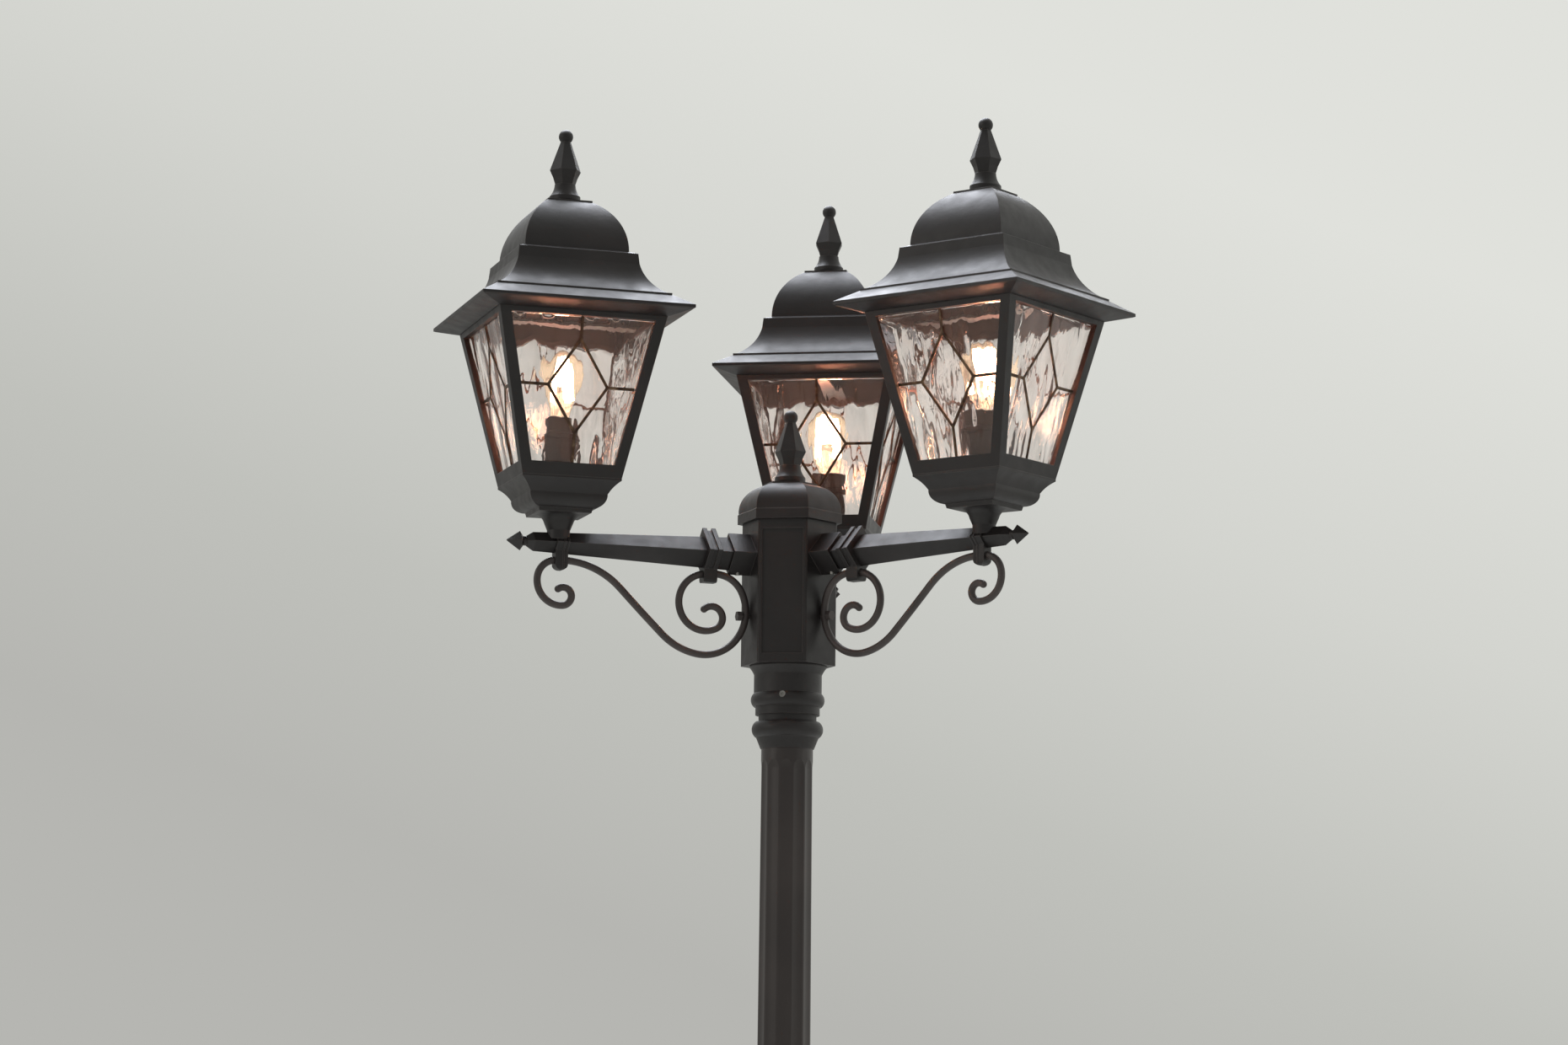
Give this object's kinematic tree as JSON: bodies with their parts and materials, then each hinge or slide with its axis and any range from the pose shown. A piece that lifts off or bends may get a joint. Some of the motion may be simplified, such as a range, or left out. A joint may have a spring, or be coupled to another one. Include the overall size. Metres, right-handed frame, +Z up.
{
  "type": "lamp post",
  "caption": "Black garden lamp post: square glazed lanterns with ogee roofs on scrolled diamond arms round a hexagonal head, on a fluted tube with a six-sided pedestal.",
  "frame": {"origin": "on the post's axis at the underside of the base plate", "axes": "+Z up the post; +Y along the rear arm; the other arms point to -X -Y and +X -Y; a panel of the head column faces -Y"},
  "size_m": [0.844, 0.7328, 2.2001],
  "materials": {
    "casting": "satin black powder coat",
    "iron": "satin black paint",
    "steel": "zinc plated",
    "screws": "plain stainless",
    "pane_glass": "clear, wavy on one side",
    "lead_strip": "dull dark strip",
    "lampholder": "matt black",
    "bulb_glass": "clear",
    "bulb_cap": "rolled thread",
    "terminal_block": "matt"
  },
  "bodies": {
    "post": {"base_plate": "casting", "pedestal": "casting", "post_tube": "casting", "post_collar": "casting", "head_column": "casting", "terminal_block": "terminal_block", "cap_bridge": "steel", "collar_screws": "screws", "column_screws": "screws", "sleeve_screws": "screws", "scroll_bolts": "iron", "left_arm": "casting", "left_arm_tip": "casting", "left_scroll": "iron", "left_scroll_clips": "casting", "left_lantern_base": "casting", "left_stem_nipple": "steel", "left_lampholder": "lampholder", "left_cage": "casting", "left_glass_panes": "pane_glass", "left_leading": "lead_strip", "left_roof_bridge": "steel", "right_arm": "casting", "right_arm_tip": "casting", "right_scroll": "iron", "right_scroll_clips": "casting", "right_lantern_base": "casting", "right_stem_nipple": "steel", "right_lampholder": "lampholder", "right_cage": "casting", "right_glass_panes": "pane_glass", "right_leading": "lead_strip", "right_roof_bridge": "steel", "rear_arm": "casting", "rear_arm_tip": "casting", "rear_scroll": "iron", "rear_scroll_clips": "casting", "rear_lantern_base": "casting", "rear_stem_nipple": "steel", "rear_lampholder": "lampholder", "rear_cage": "casting", "rear_glass_panes": "pane_glass", "rear_leading": "lead_strip", "rear_roof_bridge": "steel"},
    "left_roof_shell": {"left_roof": "casting"},
    "left_roof_finial": {"left_finial": "casting"},
    "left_lamp": {"left_bulb_cap": "bulb_cap", "left_bulb_glass": "bulb_glass"},
    "right_roof_shell": {"right_roof": "casting"},
    "right_roof_finial": {"right_finial": "casting"},
    "right_lamp": {"right_bulb_cap": "bulb_cap", "right_bulb_glass": "bulb_glass"},
    "rear_roof_shell": {"rear_roof": "casting"},
    "rear_roof_finial": {"rear_finial": "casting"},
    "rear_lamp": {"rear_bulb_cap": "bulb_cap", "rear_bulb_glass": "bulb_glass"},
    "cap": {"column_cap": "casting"},
    "cap_knob": {"cap_finial": "casting"}
  },
  "joints": [
    {"name": "left_roof_lift", "type": "slide", "parent": "post", "child": "left_roof_shell", "axis": [0, 0, 1], "range_m": [0, 0.18]},
    {"name": "left_finial_spin", "type": "hinge", "parent": "left_roof_shell", "child": "left_roof_finial", "pos_m": [-0.25115, -0.145, 2.10999], "axis": [0, 0, 1], "continuous": true},
    {"name": "left_lamp_turn", "type": "hinge", "parent": "post", "child": "left_lamp", "pos_m": [-0.25115, -0.145, 1.84959], "axis": [0, 0, 1], "continuous": true},
    {"name": "right_roof_lift", "type": "slide", "parent": "post", "child": "right_roof_shell", "axis": [0, 0, 1], "range_m": [0, 0.18]},
    {"name": "right_finial_spin", "type": "hinge", "parent": "right_roof_shell", "child": "right_roof_finial", "pos_m": [0.25115, -0.145, 2.10999], "axis": [0, 0, 1], "continuous": true},
    {"name": "right_lamp_turn", "type": "hinge", "parent": "post", "child": "right_lamp", "pos_m": [0.25115, -0.145, 1.84959], "axis": [0, 0, 1], "continuous": true},
    {"name": "rear_roof_lift", "type": "slide", "parent": "post", "child": "rear_roof_shell", "axis": [0, 0, 1], "range_m": [0, 0.18]},
    {"name": "rear_finial_spin", "type": "hinge", "parent": "rear_roof_shell", "child": "rear_roof_finial", "pos_m": [0, 0.29, 2.10999], "axis": [0, 0, 1], "continuous": true},
    {"name": "rear_lamp_turn", "type": "hinge", "parent": "post", "child": "rear_lamp", "pos_m": [0, 0.29, 1.84959], "axis": [0, 0, 1], "continuous": true},
    {"name": "cap_lift", "type": "slide", "parent": "post", "child": "cap", "axis": [0, 0, 1], "range_m": [0, 0.1]},
    {"name": "cap_finial_spin", "type": "hinge", "parent": "cap", "child": "cap_knob", "pos_m": [0, 0, 1.7916], "axis": [0, 0, 1], "continuous": true}
  ]
}
